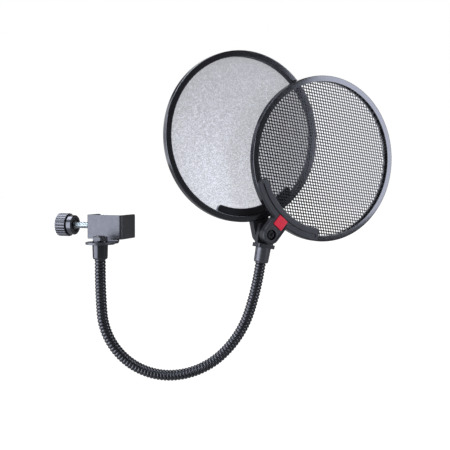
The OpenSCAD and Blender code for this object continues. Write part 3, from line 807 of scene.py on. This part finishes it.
# %% Wind the hose and lay it along its curve
RIB_PITCH = 3 * MM
CREST_R = 5 * MM
GROOVE_R = 4.1 * MM
RIB_STEPS = 8
RIB_FULLNESS = 0.6
HOSE_STEPS = 32
HOSE_SPARE_TURNS = 2


def rib_profile():
    """One rib: a round back that rises from groove to crest and falls again."""
    points = []
    for k in range(RIB_STEPS + 1):
        share = k / RIB_STEPS
        rise = math.sin(math.pi * share) ** RIB_FULLNESS
        points.append((GROOVE_R + (CREST_R - GROOVE_R) * rise, RIB_PITCH * share))
    return points


def neck_line():
    """The curve that the hose is laid along."""
    steps = round(NECK_LENGTHS * LENGTH / LAY_STEP)
    data = bpy.data.curves.new("neck_line", "CURVE")
    data.dimensions = "3D"
    spline = data.splines.new("POLY")
    spline.points.add(steps)
    for k, point in enumerate(spline.points):
        point.co = (*along_neck(k * LAY_STEP).translation, 1)
    line = bpy.data.objects.new("neck_line", data)
    bpy.context.scene.collection.objects.link(line)
    return line


turns = round(NECK_LENGTHS * LENGTH / RIB_PITCH) + HOSE_SPARE_TURNS
hose = wind("straight_hose", rib_profile(), RIB_PITCH, turns, HOSE_STEPS)
laid_along = neck_line()
cuts = [0] + [(k + 0.5) * LENGTH for k in range(1, NECK_LENGTHS - 1)] + [NECK_LENGTHS * LENGTH]
for k, name in enumerate(bend_names):
    pick(hose)
    bpy.ops.object.duplicate()
    piece = bpy.context.object
    piece.name = piece.data.name = f"ribbed_neck_{k + 1}"
    trim(piece, cuts[k], cuts[k + 1])
    apply_modifier(piece, "CURVE", object=laid_along, deform_axis="POS_Z")
    smooth(piece, degrees=50)
    piece.data.materials.append(finishes["gooseneck_black"])
    joint = along_neck((k + 1) * LENGTH)
    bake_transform(piece)
    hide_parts(*([f"neck_{k + 1}"] if k + 2 < NECK_LENGTHS else ["neck_5", "neck_6"]))
    print(piece.name, "has", len(piece.data.polygons), "faces")
bpy.data.objects.remove(hose)
bpy.data.objects.remove(laid_along)

# %% [markdown]
# ## Ferrules, nuts and the clamp screw
# The turned metal pieces are spun from profiles, as they were turned on a lathe. A nut starts as a six-sided
# cylinder, and a second shape with sloped ends takes its sharp corners off, as the real chamfer does. The
# clamp screw gets a real thread, wound like the hose with a much finer pitch.

# %% Turn the ferrules
TAPER = 0.35 * MM
MOUTH = 0.75 * MM
MOUTH_L = 1.2 * MM
STUD_R = 4 * MM
STUD_BORE_R = 2 * MM
NECK_BORE_R = 5.1 * MM
SHOULDER_EDGE = 0.35 * MM
MOUTH_EDGE = 0.15 * MM
SKIRT_EDGE = 0.3 * MM
STUD_EDGE = 0.5 * MM
TURNED_STEPS = 64


def ferrule(name, radius, length, bore_r, place, stud_l=0):
    """A tapered sleeve from its shoulder at zero down to its chamfered mouth, on a stud if it has one."""
    skirt = radius - TAPER
    corners = [
        (bore_r, -length, 0), (skirt - MOUTH, -length, MOUTH_EDGE), (skirt, MOUTH_L - length, SKIRT_EDGE),
        (radius, 0, SHOULDER_EDGE)]
    if stud_l:
        corners += [(STUD_R, 0, 0), (STUD_R, stud_l, STUD_EDGE), (bore_r, stud_l, 0)]
    else:
        corners += [(bore_r, 0, 0)]
    return lathe(name, eased(corners), place, TURNED_STEPS)


low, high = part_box("lower_ferrule")
lower_axis = Vector(((low.x + high.x) / 2, (low.y + high.y) / 2, 0))
tab_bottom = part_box("clamp_bracket")[0].z
lower_place = Matrix.Translation(lower_axis + Vector((0, 0, tab_bottom)))
lower = ferrule("lower_sleeve", (high.x - low.x) / 2, tab_bottom - low.z, STUD_BORE_R, lower_place,
                high.z - tab_bottom)
hand_over(lower, "gloss_black_metal", "lower_ferrule")

neck_end = along_neck(NECK_LENGTHS * LENGTH)
low, high = local_box("upper_ferrule", neck_end)
upper_place = neck_end @ Matrix.Translation((0, 0, high.z))
upper = ferrule("upper_sleeve", (high.x - low.x) / 2, high.z - low.z, NECK_BORE_R, upper_place)
# The same metal as the lower ferrule, but rougher, and with a lighter tone that paints its brighter highlight.
hand_over(upper, "gloss_black_metal", "upper_ferrule", look="satin_lit_black_metal")


# %% Make the two nuts
FACE_SHARE = 0.96
CHAMFER_SLOPE = 0.58
PAST_CORNER = 1.001
NUT_EDGE = 0.08 * MM
STUD_NUT_FLATS = 13 * MM
STUD_NUT_BORE_R = 4.05 * MM
STUD_NUT_TURN = math.radians(-31)
HINGE_NUT_FLATS = 7 * MM
HINGE_NUT_BORE_R = 2.05 * MM


def hex_nut(name, flats, height, bore_r, place):
    """Six flats whose corners are turned off at both ends, round a bore."""
    corner_r = flats / 2 / math.cos(math.pi / 6)
    bpy.ops.object.select_all(action="DESELECT")
    bpy.ops.mesh.primitive_cylinder_add(vertices=6, radius=corner_r, depth=height)
    nut = bpy.context.object
    nut.name = nut.data.name = name
    face_r = flats / 2 * FACE_SHARE
    side_r = corner_r * PAST_CORNER
    half = height / 2
    side = half - (corner_r - face_r) * CHAMFER_SLOPE
    turned = lathe("turned_body", [
        (bore_r, -half), (face_r, -half), (side_r, -side), (side_r, side), (face_r, half), (bore_r, half)],
        Matrix(), TURNED_STEPS)
    combine(nut, turned, "INTERSECT")
    apply_modifier(nut, "BEVEL", width=NUT_EDGE, segments=2, limit_method="ANGLE", angle_limit=EDGE_OVER)
    return settle(smooth(nut, degrees=30), place)


low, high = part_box("neck_nut")
place = Matrix.Translation((low + high) / 2) @ Matrix.Rotation(STUD_NUT_TURN, 4, "Z")
nut = hex_nut("stud_nut", STUD_NUT_FLATS, high.z - low.z, STUD_NUT_BORE_R, place)
hand_over(nut, "gloss_black_metal", "neck_nut")

low, high = local_box("pivot_nut", steel_place)
place = steel_place @ Matrix.Translation((0, 0, (low.z + high.z) / 2))
nut = hex_nut("hinge_nut", HINGE_NUT_FLATS, high.z - low.z, HINGE_NUT_BORE_R, place)
hand_over(nut, "zinc_steel", "pivot_nut")

# %% Cut the clamp screw's thread
THREAD_PITCH = 1 * MM
THREAD_ROOT_R = 2.45 * MM
CREST_FLAT = 0.19 * MM
THREAD_STEPS = 24
THREAD_SPARE_TURNS = 3
TIP_D = 4 * MM
TIP_L = 3.7 * MM
TIP_STEPS = 48
SCREW_ALONG_X = Matrix.Rotation(math.pi / 2, 4, "Y")


def threaded_rod(name, crest_r, length):
    """A rod with a plain thread, flat at its crests and roots, and square ends, standing on zero."""
    flank = (THREAD_PITCH - 2 * CREST_FLAT) / 2
    profile = [(THREAD_ROOT_R, 0), (THREAD_ROOT_R, CREST_FLAT), (crest_r, CREST_FLAT + flank),
               (crest_r, 2 * CREST_FLAT + flank), (THREAD_ROOT_R, THREAD_PITCH)]
    turns = round(length / THREAD_PITCH) + THREAD_SPARE_TURNS
    rod = wind(name, profile, THREAD_PITCH, turns, THREAD_STEPS)
    return trim(rod, 0, length)


low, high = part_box("clamp_screw")
rod_l = high.x - low.x - TIP_L
screw = threaded_rod("knob_screw", (high.z - low.z) / 2, rod_l)
bpy.ops.object.select_all(action="DESELECT")
bpy.ops.mesh.primitive_cylinder_add(vertices=TIP_STEPS, radius=TIP_D / 2, depth=2 * TIP_L,
                                    location=(0, 0, rod_l))
tip = pick(bpy.context.object)
bpy.ops.object.transform_apply(location=True)
combine(screw, tip, "UNION")
settle(smooth(screw, degrees=30), Matrix.Translation((low.x, 0, 0)) @ SCREW_ALONG_X)
hand_over(screw, "zinc_steel", "clamp_screw")

# %% [markdown]
# ## The knob
# The thumb knob is one moulding: a ribbed grip, a smooth collar, and a recess round the screw. One rib is
# drawn as a flattened arc, copied round by a spin, filled and pulled out to its length. A large ball sinks
# the free end a little, as a moulded end sinks when it cools, and the collar is spun and joined on. Fingers
# polish the ribs, and the end keeps the grain of its mould.

# %% Model the ribbed grip
RIBS = 22
RIB_H = 1.1 * MM
RIB_HALF = 1.27 * MM
RIB_FLATNESS = 0.45
RIB_ARC = [math.radians(degrees) for degrees in range(-84, 85, 14)]
GROOVE_MELD = 0.05 * MM
GRIP_L = 10.4 * MM
GRIP_EDGE = 0.35 * MM
GRIP_EDGE_OVER = math.radians(60)
DISH_R = 8.2 * MM
DISH_DEPTH = 0.9 * MM
BALL_RINGS = 180


def rib_outline(root_r):
    """One rib's share of the grip's outline: up over a broad rib, between the middles of two grooves."""
    half = math.pi / RIBS
    groove = Vector((root_r, 0, 0))
    rib = [Vector((root_r + RIB_H * math.cos(a) ** RIB_FLATNESS, RIB_HALF * math.sin(a), 0)) for a in RIB_ARC]
    return [Matrix.Rotation(-half, 3, "Z") @ groove, *rib, Matrix.Rotation(half, 3, "Z") @ groove]


def ribbed_grip(root_r):
    grip = draw_line("thumb_knob", rib_outline(root_r))
    edit(grip)
    bpy.ops.mesh.spin(steps=RIBS, dupli=True, angle=2 * math.pi, center=(0, 0, 0), axis=(0, 0, 1))
    bpy.ops.mesh.select_all(action="SELECT")
    bpy.ops.mesh.remove_doubles(threshold=GROOVE_MELD)
    bpy.ops.mesh.edge_face_add()
    bpy.ops.mesh.extrude_region_move(TRANSFORM_OT_translate={"value": (0, 0, GRIP_L)})
    leave()
    weld(grip)
    return apply_modifier(grip, "BEVEL", width=GRIP_EDGE, segments=2, limit_method="ANGLE",
                          angle_limit=GRIP_EDGE_OVER)


def dished(grip):
    """Sinks the free end of the grip, which stands at zero, with the cap of a ball."""
    ball_r = (DISH_R ** 2 + DISH_DEPTH ** 2) / (2 * DISH_DEPTH)
    bpy.ops.object.select_all(action="DESELECT")
    bpy.ops.mesh.primitive_uv_sphere_add(segments=TURNED_STEPS, ring_count=BALL_RINGS, radius=ball_r,
                                         location=(0, 0, DISH_DEPTH - ball_r))
    ball = pick(bpy.context.object)
    bpy.ops.object.transform_apply(location=True)
    return combine(grip, ball, "DIFFERENCE")


low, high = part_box("knob")
knob_l = high.x - low.x
knob = dished(ribbed_grip((high.z - low.z) / 2 - RIB_H))
print("the grip has", len(knob.data.polygons), "faces")

# %% Join the collar on
SCREW_BORE_R = 3.05 * MM
WAIST_FOOT = 3 * MM
WAIST_R = 8 * MM
COLLAR_R = 9.3 * MM
COLLAR_GAP = 0.7 * MM
COLLAR_EDGE = 0.8 * MM
RECESS_R = 6.5 * MM
RECESS = 1.6 * MM
BOSS_R = 4.3 * MM
WAIST_EDGE = 0.2 * MM
RECESS_EDGE = 0.3 * MM
RIM_EDGE = 0.4 * MM
FACING = 0.95


def knob_collar():
    """The waist inside the grip, the collar past it, and the recess with its boss in the collar's face."""
    collar_back, recess_floor = GRIP_L + COLLAR_GAP, knob_l - RECESS
    return lathe("collar", eased([
        (SCREW_BORE_R, WAIST_FOOT, 0), (WAIST_R, WAIST_FOOT, 0), (WAIST_R, collar_back, WAIST_EDGE),
        (COLLAR_R, collar_back, RIM_EDGE), (COLLAR_R, knob_l, COLLAR_EDGE), (RECESS_R, knob_l, RIM_EDGE),
        (RECESS_R, recess_floor, RECESS_EDGE), (BOSS_R, recess_floor, RECESS_EDGE),
        (BOSS_R, knob_l, RIM_EDGE), (SCREW_BORE_R, knob_l, 0)]), Matrix(), TURNED_STEPS)


combine(knob, knob_collar(), "UNION")
settle(smooth(knob, degrees=40), Matrix.Translation((low.x, 0, 0)) @ SCREW_ALONG_X)
hand_over(knob, "polished_plastic", "knob", look="worn_plastic")
knob.data.materials.append(finishes["grained_plastic"])
for face in knob.data.polygons:
    if face.normal.x < -FACING and face.center.x < low.x + DISH_DEPTH:
        face.material_index = 1

# %% [markdown]
# ## Light, floor and background
# Black things show the room, so the lights are placed by what they should draw. A large soft box at the left
# front gives the broad highlights on the clamp, the ferrules and the neck, and one above it lights the ribs
# of the knob. A small box close to the steel screen shows in the flat face of its ring: bright at the top and
# the right, and gone at the left. A strip at the far left draws thin edges, and a box overhead and an even
# glow from all round fill the shadows. The white of the background adds no light to them: only the camera
# sees all of it, and mirrors see the part that stands behind the object, as they would see a paper roll in a
# dim room.

# %% Set the lights
MIDDLE = Vector((70, 20, 10)) * MM
LAMP_COLOUR = (0.91, 0.92, 1.0)


def soft_box(name, aim, turn, tilt, distance, size, brightness):
    """A lamp that looks at a point from a turn (0 is the front, + is right) and a height, in degrees."""
    turn, tilt = math.radians(turn), math.radians(tilt)
    away = Vector((math.sin(turn) * math.cos(tilt), -math.cos(turn) * math.cos(tilt), math.sin(tilt)))
    bpy.ops.object.select_all(action="DESELECT")
    bpy.ops.object.light_add(type="AREA", location=aim + away * distance)
    lamp = bpy.context.object
    lamp.name = name
    lamp.rotation_euler = away.to_track_quat("Z", "Y").to_euler()
    lamp.data.shape = "RECTANGLE"
    lamp.data.size, lamp.data.size_y = size
    lamp.data.energy = brightness * math.pi * size[0] * size[1]
    lamp.data.color = LAMP_COLOUR


soft_box("left_front_box", MIDDLE, turn=-45, tilt=-2, distance=1.25, size=(1.35, 1.32), brightness=5.5)
soft_box("upper_left_box", MIDDLE, turn=-85, tilt=54, distance=1.3, size=(0.9, 0.8), brightness=8.0)
soft_box("right_box", sheet_middle, turn=90.5, tilt=21.5, distance=0.6, size=(0.25, 0.66), brightness=6.0)
soft_box("top_box", MIDDLE, turn=10, tilt=80, distance=1.4, size=(0.9, 0.9), brightness=2.0)
soft_box("left_strip", MIDDLE, turn=-113, tilt=8, distance=1.4, size=(0.25, 1.0), brightness=1.2)
bpy.context.scene.view_settings.view_transform = "Standard"


# %% White surroundings
def math_node(tree, operation, a, b):
    """A small sum on two values, each a socket or a number."""
    node = tree.nodes.new("ShaderNodeMath")
    node.operation = operation
    for socket, value in zip(node.inputs, (a, b)):
        if isinstance(value, (int, float)):
            socket.default_value = value
        else:
            tree.links.new(value, socket)
    return node.outputs["Value"]


def ramp(tree, source, low, high, out_low, out_high):
    """A smooth step from one level to another."""
    node = tree.nodes.new("ShaderNodeMapRange")
    node.interpolation_type = "SMOOTHSTEP"
    for key, value in zip(("From Min", "From Max", "To Min", "To Max"), (low, high, out_low, out_high)):
        node.inputs[key].default_value = value
    tree.links.new(source, node.inputs["Value"])
    return node.outputs["Result"]


def blend_by(tree, share, a, b):
    """Goes from a to b as the share goes from zero to one."""
    rest = math_node(tree, "SUBTRACT", 1.0, share)
    return math_node(tree, "ADD", math_node(tree, "MULTIPLY", rest, a), math_node(tree, "MULTIPLY", share, b))


def seen(tree):
    """Two switches: one where the camera or clear glass sees a surface, and one where a mirror does."""
    path = tree.nodes.new("ShaderNodeLightPath")
    direct = math_node(tree, "MAXIMUM", path.outputs["Is Camera Ray"], path.outputs["Is Transmission Ray"])
    return direct, path.outputs["Is Glossy Ray"]


def toward(tree, direction):
    """How far a ray into the surroundings points in a direction, from minus one to one."""
    ray = tree.nodes.new("ShaderNodeTexCoord")
    dot = tree.nodes.new("ShaderNodeVectorMath")
    dot.operation = "DOT_PRODUCT"
    dot.inputs[1].default_value = direction
    tree.links.new(ray.outputs["Generated"], dot.inputs[0])
    return dot.outputs["Value"]


WORLD_GLOW = 0.62
ROOM_GLOW = 0.10
PAPER_FADES_IN, PAPER_IS_WHITE = 0.80, 0.95
behind = (MIDDLE - CAMERA_AT) * Vector((1, 1, 0))
world = bpy.data.worlds.new("white_studio")
bpy.context.scene.world = world
world.use_nodes = True
tree = world.node_tree
direct, mirrored = seen(tree)
paper = ramp(tree, toward(tree, behind.normalized()), PAPER_FADES_IN, PAPER_IS_WHITE, ROOM_GLOW, 1.0)
strength = blend_by(tree, direct, blend_by(tree, mirrored, WORLD_GLOW, paper), 1.0)
background = tree.nodes["Background"]
background.inputs["Color"].default_value = (1, 1, 1, 1)
tree.links.new(strength, background.inputs["Strength"])
print("surroundings:", world.name)

# %% The floor
FLOOR_Z = -0.66
FLOOR_SIZE = 40
FLOOR_TONE = 0.30
NEAR, FAR = 0.4, 3.0
SEEN_NEAR, SEEN_FAR = 0.70, 0.90
MIRRORED_NEAR, MIRRORED_FAR = 0.0, 0.10
bpy.ops.object.select_all(action="DESELECT")
bpy.ops.mesh.primitive_plane_add(size=FLOOR_SIZE)
floor = bpy.context.object
floor.name = floor.data.name = "studio_floor"
settle(floor, Matrix.Translation((0, 0, FLOOR_Z)))
floor_material = bpy.data.materials.new("white_floor")
floor_material.use_nodes = True
tree = floor_material.node_tree
floor_shader = tree.nodes["Principled BSDF"]
floor_shader.inputs["Base Color"].default_value = (FLOOR_TONE, FLOOR_TONE, FLOOR_TONE, 1)
floor_shader.inputs["Roughness"].default_value = 0.9
floor_shader.inputs["Specular IOR Level"].default_value = 0.0
floor_shader.inputs["Emission Color"].default_value = (1, 1, 1, 1)
spot = tree.nodes.new("ShaderNodeTexCoord")
reach = tree.nodes.new("ShaderNodeVectorMath")
reach.operation = "LENGTH"
tree.links.new(spot.outputs["Object"], reach.inputs[0])
direct, mirrored = seen(tree)
paper = ramp(tree, reach.outputs["Value"], NEAR, FAR, SEEN_NEAR, SEEN_FAR)
dim = ramp(tree, reach.outputs["Value"], NEAR, FAR, MIRRORED_NEAR, MIRRORED_FAR)
strength = blend_by(tree, direct, blend_by(tree, mirrored, 0.0, dim), paper)
tree.links.new(strength, floor_shader.inputs["Emission Strength"])
floor.data.materials.append(floor_material)
floor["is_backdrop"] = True
print("floor:", FLOOR_SIZE, "m wide, at", FLOOR_Z, "m")

# %% Measure the visual box
low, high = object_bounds()
print("visual box is", [round(x / MM, 1) for x in high - low], "mm")
